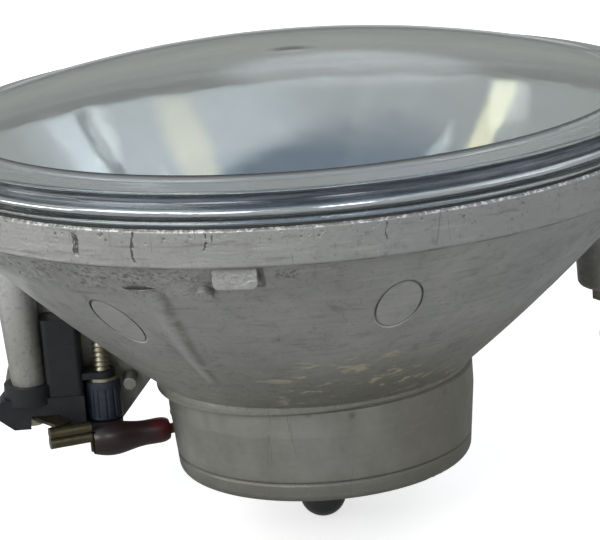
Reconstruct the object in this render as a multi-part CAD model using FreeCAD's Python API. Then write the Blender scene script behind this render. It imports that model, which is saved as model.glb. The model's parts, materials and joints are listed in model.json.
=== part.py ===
import FreeCAD, Part
import math
import os

# Round car headlamp, millimetres.
# Origin: centre of the seam between glass and casting. +Z is the optical axis, towards the road.
# +Y is up when the lamp stands in the car, so "upper" parts are on +Y and "left" parts on -X.

# ---- driving dimensions ----------------------------------------------------------------
RIM_R = 88.0             # outside of the casting's rim band
BAND_DEPTH = 8.4         # height of the rim band, down to its seat face
BOWL_TOP_R = 84.8
BOWL_TOP_Z = -9.6
NECK_R = 36.5
NECK_BORE_R = 32.6
NECK_OFFSET = 1.4        # the neck stands this far towards +X of the optical axis
NECK_TAPER = 1.5         # how much narrower the neck is at its end
NECK_TAPER_Z = -63.0     # height where it starts to narrow
NECK_TOP_Z = -57.2
NECK_END_Z = -79.1
BOWL_END_R = 37.6
BOWL_END_Z = -55.2
BOWL_BULGE = 1.3         # how far the bowl's side bows out from a straight cone
BOWL_WALL = 2.4
LIP_GROOVE_Z = -74.4     # groove that a rear cover would clip into
SEAT_FACE_R = 86.0       # inner radius of the narrow face behind the band
RIB_ANGLE = -115.6       # direction of the low rib's middle
EJECTOR_MARKS = [(-41.5, -54.6), (18.8, -69.4)]
EJECTOR_LONG = 6.4
EJECTOR_WIDE = 5.0

GLASS_RIM_R = 85.9
GLASS_THICKNESS = 4.0
DOME_TOP_Z = 20.3
DOME_RADIUS = 276.0      # sphere that the front of the glass follows
DOME_EDGE_R = 77.9

FOCAL_LENGTH = 27.0
MIRROR_BOTTOM_Z = -62.3
MIRROR_RIM_R = 80.0
MIRROR_HOLE_R = 15.8
RIVET_CIRCLE_R = 19.2
SHEET = 0.8              # pressed sheet of the reflector and the bulb seat

SEAT_Z = -60.3           # plane that the bulb's flange rests on
LIGHT_CENTRE = 25.0      # filament centre above that plane
FLANGE_R = 8.7
FLANGE_T = 1.2
BULB_GLASS_R = 4.6
BULB_TOP = 44.5          # bulb tip above the seat plane
BLADE_WIDTH = 6.35
BLADE_T = 0.8
BLADE_TIP_Z = -75.0

CLIP_WIRE_R = 0.6
CLIP_HINGE_Y = 11.7
CLIP_LEG_X = 7.7
CLIP_TIP_X = 10.9
CLIP_Z = SEAT_Z - FLANGE_T - CLIP_WIRE_R - 0.1

PLUG_R = 5.6
PLUG_TOP_Z = -67.6
PLUG_TIP_Z = -94.9
PLUG_SPOUT_Z = -84.0

PILLAR = FreeCAD.Vector(-69.8, 18.0, -63.8)   # centre of the left pillar's tip
PILLAR_TIP_R = 4.15
PILLAR_LEAN = 2.0        # how far the pillar's root stands outward of its tip
PILLAR_LENGTH = 44.0
KNOB_OFFSET = 18.0       # from the pillar to the adjuster's axis, towards the lamp's middle
KNOB_R = 4.3
KNOB_TOP_Z = -61.9
KNOB_END_Z = -71.7
BLOCK_TOP_Z = -64.5
BLOCK_END_Z = -74.0      # underside below the tower and the knob
BLOCK_LOW_Z = -72.1      # underside below the pillar
SCREW_FACE_Z = -68.9     # face in the block's underside that the screw or the strip bears on
STRIP_T = 0.8            # brass strip of the earth terminal
BLOCK_HALF_DEPTH = 4.5
TOWER_TOP_Z = -45.0
SPINDLE_R = 2.0
SPINDLE_PITCH = 1.25
SPINDLE_TOP_Z = -49.0
BALL_R = 3.4
BALL_Z = -78.0

PIVOT_X = 75.4
PIVOT_Y = 20.0
PIVOT_BOSS_R = 9.2
PIVOT_BOSS_Z = -48.0
PIVOT_BALL_R = 4.5
PIVOT_BALL_Z = -61.0

SLEEVE_START = FreeCAD.Vector(-54.9, 9.0, -75.0)   # blade end of the insulated terminal
SLEEVE_END = FreeCAD.Vector(-36.6, 15.0, -75.0)    # its wire end
SLEEVE_LENGTH = (SLEEVE_END - SLEEVE_START).Length
LEAD_R = 1.25
GROMMET_ANGLE = 120.0
GROMMET_Z = -68.0
GROMMET_HOLE_R = 4.2

RUNNING = 0.05           # radial clearance of a part that turns or slides
GAP = 0.05               # clearance between parts that only rest on each other

UP = FreeCAD.Vector(0, 0, 1)
ORIGIN = FreeCAD.Vector(0, 0, 0)
NECK_CENTRE = FreeCAD.Vector(NECK_OFFSET, 0, 0)
UPPER_TURN = -90.0       # turns the left adjuster onto the upper one


# ---- shape helpers ---------------------------------------------------------------------
def at(r, z):
    """Point of a turned outline: radius r, height z."""
    return FreeCAD.Vector(r, 0, z)


def edges_through(start, steps):
    """Edges from start; each step is a point (line), a (middle, end) pair (arc) or a list (spline)."""
    edges = []
    here = start
    for step in steps:
        if isinstance(step, list):
            curve = Part.BSplineCurve()
            curve.interpolate([here] + step)
            edges.append(curve.toShape())
            here = step[-1]
        elif isinstance(step, tuple):
            middle, end = step
            edges.append(Part.Arc(here, middle, end).toShape())
            here = end
        else:
            edges.append(Part.makeLine(here, step))
            here = step
    return edges


def turned(start, *steps):
    """Solid turned about Z from a closed outline that begins and ends at start."""
    edges = edges_through(start, list(steps) + [start])
    return Part.Face(Part.Wire(edges)).revolve(ORIGIN, UP, 360)


def round_bar(radius, low, high, x=0.0, y=0.0):
    """Upright cylinder from height low to height high."""
    return Part.makeCylinder(radius, high - low, FreeCAD.Vector(x, y, low), UP)


def ring(outer, inner, low, high, x=0.0, y=0.0):
    return round_bar(outer, low, high, x, y).cut(round_bar(inner, low, high, x, y))


def block(x, y, z):
    """Box between the (low, high) pairs x, y and z."""
    size = [pair[1] - pair[0] for pair in (x, y, z)]
    return Part.makeBox(size[0], size[1], size[2], FreeCAD.Vector(x[0], y[0], z[0]))


def slab(points, thickness, direction):
    """Flat plate with the given corners, thickened along direction."""
    outline = Part.makePolygon(points + [points[0]])
    return Part.Face(outline).extrude(direction * thickness)


def rounded_block(x, y, z, radius, axis):
    """Box whose edges along one axis (0, 1 or 2) are rounded."""
    body = block(x, y, z)
    along = [FreeCAD.Vector(1, 0, 0), FreeCAD.Vector(0, 1, 0), UP][axis]
    parallel = [e for e in body.Edges if abs(e.tangentAt(e.FirstParameter).dot(along)) > 0.999]
    return body.makeFillet(radius, parallel)


def cable(points, radius, bend):
    """Round wire with straight runs between the points and an arc of about the bend radius at each corner."""
    edges = []
    here = points[0]
    for before, corner, after in zip(points, points[1:], points[2:]):
        back = (before - corner).normalize()
        ahead = (after - corner).normalize()
        half_turn = (math.pi - back.getAngle(ahead)) / 2
        room = 0.48 * min((before - corner).Length, (after - corner).Length)
        cut = min(bend * math.tan(half_turn), room)
        radius_here = cut / math.tan(half_turn)
        leave, arrive = corner + back * cut, corner + ahead * cut
        inward = (back + ahead).normalize()
        middle = corner + inward * (radius_here / math.cos(half_turn) - radius_here)
        edges.append(Part.makeLine(here, leave))
        edges.append(Part.Arc(leave, middle, arrive).toShape())
        here = arrive
    edges.append(Part.makeLine(here, points[-1]))
    profile = Part.Wire([Part.makeCircle(radius, points[0], points[1] - points[0])])
    return Part.Wire(edges).makePipeShell([profile], True, True)


def joined(first, *others):
    """One solid from overlapping solids."""
    shape = first
    for other in others:
        shape = shape.fuse(other)
    return shape.removeSplitter()


def spun(shape, degrees):
    """Copy of a shape turned about the optical axis."""
    copy = shape.copy()
    copy.rotate(ORIGIN, UP, degrees)
    return copy


def polar(radius, degrees, z):
    angle = math.radians(degrees)
    return FreeCAD.Vector(radius * math.cos(angle), radius * math.sin(angle), z)


# ---- curves of the bowl and the mirror --------------------------------------------------
def bowl_curve(depth):
    """Start, middle and end of the bowl's side, moved inward by depth."""
    run = BOWL_TOP_R - BOWL_END_R
    rise = BOWL_TOP_Z - BOWL_END_Z
    length = math.hypot(run, rise)
    out_r, out_z = rise / length, -run / length
    low = at(BOWL_END_R - depth * out_r, BOWL_END_Z - depth * out_z)
    high = at(BOWL_TOP_R - depth * out_r, BOWL_TOP_Z - depth * out_z)
    middle = (low + high) * 0.5 + at(out_r, out_z) * BOWL_BULGE
    return low, middle, high


def mirror_height(r):
    return MIRROR_BOTTOM_Z + r * r / (4 * FOCAL_LENGTH)


def mirror_curve(first_r, last_r, depth, count=9):
    """Points of the mirror's parabola from first_r to last_r, moved outward by depth."""
    points = []
    for i in range(count):
        r = first_r + (last_r - first_r) * i / (count - 1)
        slope = r / (2 * FOCAL_LENGTH)
        stretch = math.hypot(1, slope)
        points.append(at(r + depth * slope / stretch, mirror_height(r) - depth / stretch))
    return points


# ---- casting ----------------------------------------------------------------------------
SEAL_GROOVE_Z = -3.6
SHELF_Z = -3.05
SHELF_R = 81.2
SEAL_R = (82.4, 86.8)


def casting_shell():
    """Turned body: rim band and bowl, open at both ends."""
    low, middle, high = bowl_curve(0.0)
    in_low, in_middle, in_high = bowl_curve(BOWL_WALL)
    floor_r = NECK_BORE_R + NECK_OFFSET - 0.6
    return turned(
        at(RIM_R - 0.5, 0),
        at(RIM_R, -0.5),
        at(RIM_R, 0.5 - BAND_DEPTH),
        at(RIM_R - 0.4, -BAND_DEPTH),
        at(SEAT_FACE_R, -BAND_DEPTH),
        high,
        (middle, low),
        (at(BOWL_END_R - 0.3, BOWL_END_Z - 1.3), at(BOWL_END_R - 1.6, NECK_TOP_Z)),
        at(floor_r, NECK_TOP_Z),
        in_low,
        (in_middle, in_high),
        at(in_high.x, -6.4),
        at(SHELF_R, -5.2),
        at(SHELF_R, SHELF_Z),
        at(SEAL_R[0], SHELF_Z),
        at(SEAL_R[0], SEAL_GROOVE_Z),
        at(SEAL_R[1], SEAL_GROOVE_Z),
        at(SEAL_R[1], 0),
    )


def neck_radius(z):
    """Outside radius of the neck at height z."""
    fall = (NECK_TAPER_Z - z) / (NECK_TAPER_Z - NECK_END_Z)
    return NECK_R - NECK_TAPER * max(0.0, fall)


def casting_neck():
    """Tapered neck with a shallow groove and a rounded end."""
    groove_high, groove_low = LIP_GROOVE_Z + 0.45, LIP_GROOVE_Z - 0.45
    round_top = NECK_END_Z + 2.0
    end_r = neck_radius(round_top)
    neck = turned(
        at(NECK_BORE_R, NECK_TOP_Z + 1.6),
        at(NECK_R - 1.6, NECK_TOP_Z + 1.6),
        at(NECK_R, NECK_TOP_Z),
        at(NECK_R, NECK_TAPER_Z),
        at(neck_radius(groove_high), groove_high),
        at(neck_radius(LIP_GROOVE_Z) - 0.5, LIP_GROOVE_Z),
        at(neck_radius(groove_low), groove_low),
        at(end_r, round_top),
        (at(end_r - 0.5, NECK_END_Z + 0.6), at(end_r - 1.6, NECK_END_Z)),
        at(NECK_BORE_R, NECK_END_Z),
    )
    neck.translate(NECK_CENTRE)
    return neck


def bowl_filler():
    """Everything inside the bowl's outer surface, used to trim what is cast onto it."""
    low, middle, high = bowl_curve(0.6)
    top = -5.0
    bowl = turned(
        at(0, top),
        at(high.x, top),
        high,
        (middle, low),
        at(low.x - 0.5, NECK_TOP_Z + 0.6),
        at(0, NECK_TOP_Z + 0.6),
    )
    neck = round_bar(NECK_R - NECK_TAPER - 0.6, NECK_END_Z, BOWL_END_Z, NECK_OFFSET)
    return bowl.fuse(neck)


def bowl_skirt():
    """Bowl's lower edge, which hangs lower on the left; its underside is a slightly tilted plane."""
    drop = 1.4
    skirt = ring(BOWL_END_R, NECK_R - 3.0, BOWL_END_Z - 3 * drop, BOWL_END_Z + 0.3)
    below = block((-60, 60), (-60, 60), (-20, 0))
    below.rotate(ORIGIN, FreeCAD.Vector(0, 1, 0), -math.degrees(math.atan2(drop, BOWL_END_R)))
    below.translate(FreeCAD.Vector(0, 0, BOWL_END_Z - drop))
    return skirt.cut(below)


def cast_pillar():
    """Tapered pillar on the back of the bowl, for the left adjuster."""
    lean = FreeCAD.Vector(-PILLAR_LEAN, 0, PILLAR_LENGTH)
    return Part.makeCone(PILLAR_TIP_R, PILLAR_TIP_R + 1.1, lean.Length, PILLAR, lean)


def cast_web():
    """Web behind the adjuster, with a stub beside the yoke and a wall that meets the pillar."""
    web_y = 23.7
    web_t = 3.0
    back = FreeCAD.Vector(0, 1, 0)
    corners = [(-31.0, -53.0), (-48.5, -74.6), (-58.0, -74.6), (-61.5, -60.0), (-61.5, -24.0), (-45.0, -40.0)]
    web = slab([FreeCAD.Vector(x, web_y, z) for x, z in corners], web_t, back)
    stub = Part.makeCylinder(1.6, web_y - 15.7, FreeCAD.Vector(-45.2, 16.7, -63.4), back)
    wall_y = PILLAR.y + BLOCK_HALF_DEPTH - 0.4
    wall = block((PILLAR.x - 0.5, -60.0), (wall_y, web_y + web_t), (-60.4, -24.0))
    return web.fuse([stub, wall])


def cast_fin():
    """Small fin on the outer side of the pillar, behind the adjuster's cup."""
    corners = [(-69.5, -54.0), (-73.4, -55.4), (-75.6, -59.5), (-77.0, -65.0), (-69.5, -60.4)]
    return slab([FreeCAD.Vector(x, 24.6, z) for x, z in corners], 2.1, FreeCAD.Vector(0, 1, 0))


def pivot_boss():
    """Round boss on the right for the fixed ball stud."""
    foot = FreeCAD.Vector(PIVOT_X, PIVOT_Y, PIVOT_BOSS_Z)
    boss = Part.makeCone(PIVOT_BOSS_R, PIVOT_BOSS_R + 1.4, -7.0 - PIVOT_BOSS_Z, foot, UP)
    rim = [e for e in boss.Edges if abs(e.BoundBox.ZMax - PIVOT_BOSS_Z) < 0.01]
    return boss.makeFillet(1.6, rim)


def front_pad():
    """Vertical-faced tab just under the band."""
    pad = rounded_block((79.0, 85.3), (-4.75, 4.75), (-13.6, -8.0), 1.5, 0)
    return spun(pad, -100.1)


def front_boss():
    stud = Part.makeCylinder(2.0, 5.2, FreeCAD.Vector(77.3, 0, -12.5), FreeCAD.Vector(0.70, 0, -0.72))
    return spun(stud, -105.6)


def flow_rib():
    """Low rounded rib that runs slantwise down the bowl, left by the die."""
    crown = 10.0
    height = 0.85
    slant = 3.0
    low, middle, high = bowl_curve(crown - height)
    path = Part.Arc(low, middle, high).toShape()
    profile = Part.Wire([Part.makeCircle(crown, low, middle - low)])
    swell = Part.Wire([path]).makePipeShell([profile], True, True)
    span = block((0, 120), (-9, 9), (-46.0, -15.0))
    rib = swell.common(span)
    rib.rotate(FreeCAD.Vector(65, 0, -30), FreeCAD.Vector(0.69, 0, -0.72), slant)
    return spun(rib, RIB_ANGLE)


def oval_bar(x, y, grow):
    """Upright oval bar through an ejector mark, longer towards the optical axis."""
    oval = Part.Ellipse(ORIGIN, EJECTOR_LONG + grow, EJECTOR_WIDE + grow).toShape()
    bar = Part.Face(Part.Wire([oval])).extrude(UP * 60)
    heading = math.degrees(math.atan2(y, x))
    bar.Placement = FreeCAD.Placement(FreeCAD.Vector(x, y, -60), FreeCAD.Rotation(UP, heading))
    return bar


def ejector_groove(x, y):
    """Oval line that an ejector leaves on the bowl."""
    low, middle, high = bowl_curve(-0.5)
    deep_low, deep_middle, deep_high = bowl_curve(0.3)
    skin = turned(low, (middle, high), deep_high, (deep_middle, deep_low))
    return oval_bar(x, y, 0.2).cut(oval_bar(x, y, -0.2)).common(skin)


def grommet_bar(radius, inner_r, outer_r):
    start = polar(inner_r, GROMMET_ANGLE, GROMMET_Z) + NECK_CENTRE
    return Part.makeCylinder(radius, outer_r - inner_r, start, polar(1, GROMMET_ANGLE, 0))


def hollow_space():
    """Everything inside the bowl's wall and the neck's bore."""
    inner_low, inner_middle, inner_high = bowl_curve(BOWL_WALL)
    bowl = turned(
        at(0, inner_high.z),
        inner_high,
        (inner_middle, inner_low),
        at(NECK_BORE_R, NECK_TOP_Z),
        at(0, NECK_TOP_Z),
    )
    return bowl.fuse(round_bar(NECK_BORE_R, NECK_END_Z - 1, NECK_TOP_Z + 2, NECK_OFFSET))


def housing():
    outside = cast_pillar().fuse([cast_web(), cast_fin()])
    added = [outside, spun(cast_pillar().fuse(cast_web()), UPPER_TURN), pivot_boss()]
    trimmed = [shape.cut(bowl_filler()) for shape in added]
    added = trimmed + [casting_neck(), bowl_skirt(), front_pad(), front_boss(), flow_rib()]
    shell = casting_shell().fuse(added)
    shell = shell.cut(hollow_space())
    for x, y in EJECTOR_MARKS:
        shell = shell.cut(ejector_groove(x, y))
    screw_hole = round_bar(1.55, PILLAR.z - 1, PILLAR.z + 12, PILLAR.x, PILLAR.y)
    stud_hole = round_bar(3.05, PIVOT_BOSS_Z - 1, PIVOT_BOSS_Z + 12, PIVOT_X, PIVOT_Y)
    for hole in (screw_hole, spun(screw_hole, UPPER_TURN), stud_hole, grommet_bar(GROMMET_HOLE_R, 30, 40)):
        shell = shell.cut(hole)
    return shell.removeSplitter()


# ---- glass, seal and mirror ---------------------------------------------------------------
def lens():
    """Domed glass: beaded rim, a foot that stands in the seal groove, and a spherical front."""
    dome_centre = DOME_TOP_Z - DOME_RADIUS
    inner_radius = DOME_RADIUS - GLASS_THICKNESS
    inner_edge_r = 77.0
    edge_z = dome_centre + math.sqrt(DOME_RADIUS ** 2 - DOME_EDGE_R ** 2)
    inner_edge_z = dome_centre + math.sqrt(inner_radius ** 2 - inner_edge_r ** 2)
    half_z = dome_centre + math.sqrt(DOME_RADIUS ** 2 - (DOME_EDGE_R / 2) ** 2)
    inner_half_z = dome_centre + math.sqrt(inner_radius ** 2 - (inner_edge_r / 2) ** 2)
    return turned(
        at(0, DOME_TOP_Z - GLASS_THICKNESS),
        (at(inner_edge_r / 2, inner_half_z), at(inner_edge_r, inner_edge_z)),
        at(80.6, 2.6),
        at(82.9, 0.6),
        at(83.5, -2.5),
        at(85.9, -2.5),
        at(86.0, 0.5),
        at(87.2, 0.6),
        (at(87.45, 1.15), at(87.1, 1.7)),
        at(86.2, 2.0),
        (at(87.0, 3.05), at(86.1, 4.0)),
        (at(85.1, 5.2), at(85.4, 6.4)),
        (at(GLASS_RIM_R, 6.9), at(85.4, 7.35)),
        at(80.4, 8.0),
        (at(78.9, 8.3), at(DOME_EDGE_R, edge_z)),
        (at(DOME_EDGE_R / 2, half_z), at(0, DOME_TOP_Z)),
    )


def lens_seal():
    """Dark sealing strip in the groove, seen as a line between glass and casting."""
    inner, outer = SEAL_R[0] + GAP, SEAL_R[1] - GAP
    return turned(
        at(inner, SEAL_GROOVE_Z + GAP),
        at(outer, SEAL_GROOVE_Z + GAP),
        at(outer, 0.05),
        at(87.4, 0.05),
        (at(87.5, 0.25), at(87.3, 0.5)),
        at(86.1, 0.42),
        at(86.0, -2.6),
        at(83.3, -2.6),
        at(83.0, -0.7),
        at(inner, -0.7),
    )


def reflector():
    """Parabolic mirror pressed from sheet, with a flat rim that lies on the casting's shelf."""
    front = mirror_curve(MIRROR_HOLE_R, MIRROR_RIM_R, 0.0)
    back = mirror_curve(MIRROR_HOLE_R, MIRROR_RIM_R, SHEET)
    back.reverse()
    return turned(
        front[0],
        front[1:],
        at(80.3, -2.2),
        at(82.3, -2.2),
        at(82.3, SHELF_Z + GAP),
        at(80.9, SHELF_Z + GAP),
        back[0],
        back[1:],
    )


# ---- bulb and its seat --------------------------------------------------------------------
TAG_ANGLE = 150.0
RIVET_ANGLES = (45.0, 165.0, 285.0)


def bulb_seat():
    """Pressed dish behind the mirror: flat floor with the bulb's hole, skirt along the mirror's back."""
    skirt_top = mirror_curve(16.0, 22.0, SHEET + GAP, 4)
    skirt_under = mirror_curve(16.0, 22.0, 2 * SHEET + GAP, 4)
    skirt_under.reverse()
    floor_top = SEAT_Z + SHEET
    floor_r = MIRROR_HOLE_R - 0.2
    dish = turned(
        at(5.8, SEAT_Z),
        at(5.8, floor_top),
        at(floor_r, floor_top),
        at(floor_r, floor_top - 1.5),
        skirt_top[0],
        skirt_top[1:],
        skirt_under[0],
        skirt_under[1:],
        at(floor_r - SHEET, skirt_under[-1].z),
        at(floor_r - SHEET, SEAT_Z),
    )
    tip_end = CLIP_TIP_X + CLIP_WIRE_R
    side_y = (-CLIP_HINGE_Y - 1.6, 1.6 - CLIP_HINGE_Y)
    for side in (1, -1):
        post = block((tip_end + 0.5, tip_end + 1.4), side_y, (CLIP_Z - 1.7, SEAT_Z - 0.65))
        lip = block((tip_end + 0.15, tip_end + 1.4), side_y, (CLIP_Z - 1.7, CLIP_Z - 0.75))
        hook = post.fuse(lip)
        if side < 0:
            hook = hook.mirror(ORIGIN, FreeCAD.Vector(1, 0, 0))
        dish = dish.fuse(hook)
    for angle in RIVET_ANGLES:
        spot = polar(RIVET_CIRCLE_R, angle, 0)
        dish = dish.cut(round_bar(1.05, -70, -50, spot.x, spot.y))
    return dish.removeSplitter()


def mirror_with_rivet_holes():
    sheet = reflector()
    for angle in RIVET_ANGLES:
        spot = polar(RIVET_CIRCLE_R, angle, 0)
        sheet = sheet.cut(round_bar(1.05, -70, -50, spot.x, spot.y))
    return sheet


def seat_rivets():
    """Three rivets that hold the seat to the mirror."""
    middle = mirror_height(RIVET_CIRCLE_R)
    rivets = []
    for angle in RIVET_ANGLES:
        spot = polar(RIVET_CIRCLE_R, angle, 0)
        shank = round_bar(1.0, middle - 2.9, middle + 1.2, spot.x, spot.y)
        front_head = Part.makeSphere(1.7, FreeCAD.Vector(spot.x, spot.y, middle + 0.2))
        front_head = front_head.cut(round_bar(3, middle - 3, middle + 0.85, spot.x, spot.y))
        back_head = round_bar(1.8, middle - 3.3, middle - 2.6, spot.x, spot.y)
        rivets.append(shank.fuse([front_head, back_head]).removeSplitter())
    return Part.makeCompound(rivets)


def bulb_base():
    """Metal cap of the bulb: round flange with a locating notch, and a collar around the glass."""
    flange = round_bar(FLANGE_R, SEAT_Z - FLANGE_T - GAP, SEAT_Z - GAP)
    flange = flange.cut(block((-1.2, 1.2), (FLANGE_R - 1.0, FLANGE_R + 1), (SEAT_Z - 3, SEAT_Z + 1)))
    collar = round_bar(5.5, SEAT_Z - 1, SEAT_Z + 4.5)
    neck = round_bar(5.1, SEAT_Z + 4, SEAT_Z + 7.2)
    bore = round_bar(BULB_GLASS_R + GAP, SEAT_Z + 1.5, SEAT_Z + 9)
    back_bore = round_bar(4.3, SEAT_Z - 3, SEAT_Z + 2)
    return joined(flange, collar, neck).cut(bore).cut(back_bore)


def bulb_glass():
    """Narrow glass tube with a rounded tip, hollow around the filament, with an exhaust hole at its foot."""
    foot = SEAT_Z + 1.6
    tip = SEAT_Z + BULB_TOP
    wall = 0.9
    exhaust_r = 0.6
    seal_r = 0.9
    inside_r = BULB_GLASS_R - wall
    inside_top = tip - 3.0
    return turned(
        at(exhaust_r, foot),
        at(BULB_GLASS_R, foot),
        at(BULB_GLASS_R, tip - 4.2),
        (at(3.4, tip - 1.3), at(seal_r, tip - 0.2)),
        at(seal_r, tip),
        at(0, tip),
        at(0, inside_top),
        at(seal_r, inside_top),
        (at(2.7, inside_top - 0.8), at(inside_r, inside_top - 3.0)),
        at(inside_r, foot + 9.0),
        at(1.5, foot + 6.5),
        at(exhaust_r, foot + 6.5),
    )


def bulb_filament():
    """Axial coil between two support wires."""
    centre = SEAT_Z + LIGHT_CENTRE
    pitch, coil_r, wire_r, turns = 0.62, 0.75, 0.16, 8
    coil = Part.makeHelix(pitch, pitch * turns, coil_r)
    profile = Part.Wire([Part.makeCircle(wire_r, FreeCAD.Vector(coil_r, 0, 0), FreeCAD.Vector(0, 1, 0))])
    coil = Part.Wire(coil.Edges).makePipeShell([profile], True, True)
    half = pitch * turns / 2
    coil.translate(FreeCAD.Vector(0, 0, centre - half))
    foot = SEAT_Z + 8.6
    top = centre + half
    low = centre - half
    top_arm = [at(coil_r, top - 0.1), at(coil_r, top + 1.2), at(2.4, top + 1.2), at(2.4, foot + 2.4)]
    low_arm = [at(coil_r, low + 0.1), at(coil_r, low - 1.6), at(-1.2, low - 2.6), at(-1.2, foot + 2.4)]
    return coil.fuse([cable(top_arm, 0.2, 0.4), cable(low_arm, 0.2, 0.4)])


def blade_slot(clearance, low, high):
    """Space for the blade, larger by the clearance all round."""
    half_width = BLADE_WIDTH / 2 + clearance
    half_depth = BLADE_T / 2 + clearance
    return block((-half_width, half_width), (-half_depth, half_depth), (low, high))


def bulb_insulator():
    """Ceramic back of the bulb, slotted for the blade."""
    barrel = ring(4.25, 0.1, SEAT_Z - 6.4, SEAT_Z + 1.4).fuse(round_bar(1, SEAT_Z - 6.4, SEAT_Z + 1.4))
    slot = blade_slot(GAP, SEAT_Z - 7, SEAT_Z - 3)
    return barrel.cut(slot).removeSplitter()


def bulb_blade():
    """Single blade terminal with chamfered tip corners."""
    half = BLADE_WIDTH / 2
    low = BLADE_TIP_Z
    top = SEAT_Z - 3.05
    tip = 1.0
    right = [(half, top), (half, low + tip), (half - tip, low)]
    corners = right + [(-x, z) for x, z in reversed(right)]
    blade = slab([FreeCAD.Vector(x, -BLADE_T / 2, z) for x, z in corners], BLADE_T, FreeCAD.Vector(0, 1, 0))
    eye = Part.makeCylinder(0.9, 4, FreeCAD.Vector(0, -2, low + 3.2), FreeCAD.Vector(0, 1, 0))
    return blade.cut(eye)


# ---- wire clip that holds the bulb ----------------------------------------------------------
def bulb_clip():
    """Spring wire bent to a U: hinge bar behind, two legs over the flange, tips turned out."""
    route = [(-CLIP_TIP_X, -CLIP_HINGE_Y), (-CLIP_LEG_X, -CLIP_HINGE_Y), (-CLIP_LEG_X, CLIP_HINGE_Y),
             (CLIP_LEG_X, CLIP_HINGE_Y), (CLIP_LEG_X, -CLIP_HINGE_Y), (CLIP_TIP_X, -CLIP_HINGE_Y)]
    points = [FreeCAD.Vector(x, y, CLIP_Z) for x, y in route]
    tips = [Part.makeSphere(CLIP_WIRE_R, end) for end in (points[0], points[-1])]
    return joined(cable(points, CLIP_WIRE_R, 1.4), *tips)


def clip_bracket():
    """Sheet curl around the clip's hinge bar, spot-welded under the seat."""
    along = FreeCAD.Vector(1, 0, 0)
    start = FreeCAD.Vector(-5.0, CLIP_HINGE_Y, CLIP_Z)
    curl = Part.makeCylinder(CLIP_WIRE_R + 0.75, 10.0, start, along)
    bore = Part.makeCylinder(CLIP_WIRE_R + RUNNING, 12.0, start - along, along)
    foot = block((-5.0, 5.0), (9.2, CLIP_HINGE_Y), (SEAT_Z - SHEET, SEAT_Z - GAP))
    foot = foot.cut(round_bar(FLANGE_R + 0.3, -70, -50))
    return joined(curl, foot).cut(bore)


# ---- plug and leads ---------------------------------------------------------------------------
def bulb_plug():
    """Moulded push-on plug with a domed end and a side spout for the lead."""
    dome_z = PLUG_TIP_Z + PLUG_R
    shank = turned(
        at(0, PLUG_TOP_Z),
        at(PLUG_R - 0.8, PLUG_TOP_Z),
        at(PLUG_R, PLUG_TOP_Z - 0.8),
        at(PLUG_R, dome_z),
        (at(PLUG_R * math.sin(math.pi / 4), dome_z - PLUG_R * math.cos(math.pi / 4)), at(0, PLUG_TIP_Z)),
    )
    collar = ring(PLUG_R + 0.7, PLUG_R - 1, PLUG_TOP_Z - 6.6, PLUG_TOP_Z - 4.4)
    back = FreeCAD.Vector(0, 1, 0)
    spout = Part.makeCone(2.9, 2.2, 9.5, FreeCAD.Vector(0, 0, PLUG_SPOUT_Z), back)
    body = joined(shank, collar, spout)
    cavity = block((-4.05, 4.05), (-1.75, 1.75), (PLUG_TOP_Z - 11.5, PLUG_TOP_Z + 1))
    wire_hole = Part.makeCylinder(LEAD_R + GAP, 12, FreeCAD.Vector(0, 1.0, PLUG_SPOUT_Z), back)
    return body.cut(cavity).cut(wire_hole)


def plug_contact():
    """Sprung brass receptacle inside the plug."""
    low, high = PLUG_TOP_Z - 11.0, PLUG_TOP_Z - 0.8
    box = block((-3.95, 3.95), (-1.6, 1.6), (low, high))
    gap = blade_slot(0.07, low - 1, high + 1)
    seam = block((-0.25, 0.25), (0, 3), (low - 1, high + 1))
    return box.cut(gap).cut(seam)


def insulated_sleeve():
    """Push-on terminal cover along +X from the origin: flat mouth, waist, round wire end."""
    stations = [
        (0.0, 2.1, 3.1),
        (0.8, 2.5, 3.4),
        (11.0, 2.6, 3.35),
        (15.0, 2.75, 3.15),
        (18.4, 2.7, 2.95),
        (SLEEVE_LENGTH, 2.2, 2.5),
    ]
    rings = []
    for x, half_depth, half_height in stations:
        wide = max(half_depth, half_height)
        narrow = min(half_depth, half_height)
        ellipse = Part.Ellipse(FreeCAD.Vector(0, 0, 0), wide, narrow).toShape()
        loop = Part.Wire([ellipse])
        turn = FreeCAD.Rotation(FreeCAD.Vector(0, 1, 0), 90)
        loop.Placement = FreeCAD.Placement(FreeCAD.Vector(x, 0, 0), turn)
        rings.append(loop)
    body = Part.makeLoft(rings, True, False)
    cavity = block((-1, 11.0), (-1.45, 1.45), (-2.75, 2.75))
    wire_hole = Part.makeCylinder(LEAD_R + GAP, 14, FreeCAD.Vector(10, 0, 0), FreeCAD.Vector(1, 0, 0))
    return body.cut(cavity).cut(wire_hole)


def receptacle():
    """Brass receptacle for a 4.8 mm blade, along +X inside the sleeve."""
    box = block((0.6, 10.6), (-1.35, 1.35), (-2.7, 2.7))
    gap = block((0, 9.6), (-0.46, 0.46), (-2.46, 2.46))
    return box.cut(gap)


def along_sleeve(shape, start, end):
    """Move a shape built along +X from the origin so that it runs from start towards end."""
    copy = shape.copy()
    heading = math.degrees(math.atan2(end.y - start.y, end.x - start.x))
    copy.Placement = FreeCAD.Placement(start, FreeCAD.Rotation(UP, heading))
    return copy


SUPPLY_START = FreeCAD.Vector(33.4, 27.7, -71.0)
SUPPLY_END = FreeCAD.Vector(19.5, 41.0, -71.0)


def grommet_spot(radius, side):
    """Point on one of the grommet's two wire holes."""
    across = polar(1.6 * side, GROMMET_ANGLE + 90, 0)
    return polar(radius, GROMMET_ANGLE, GROMMET_Z) + across + NECK_CENTRE


def inside_sleeve(start, end, depth):
    """Point on a sleeve's axis, so far inside its wire end."""
    return end + (start - end).normalize() * depth


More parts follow.
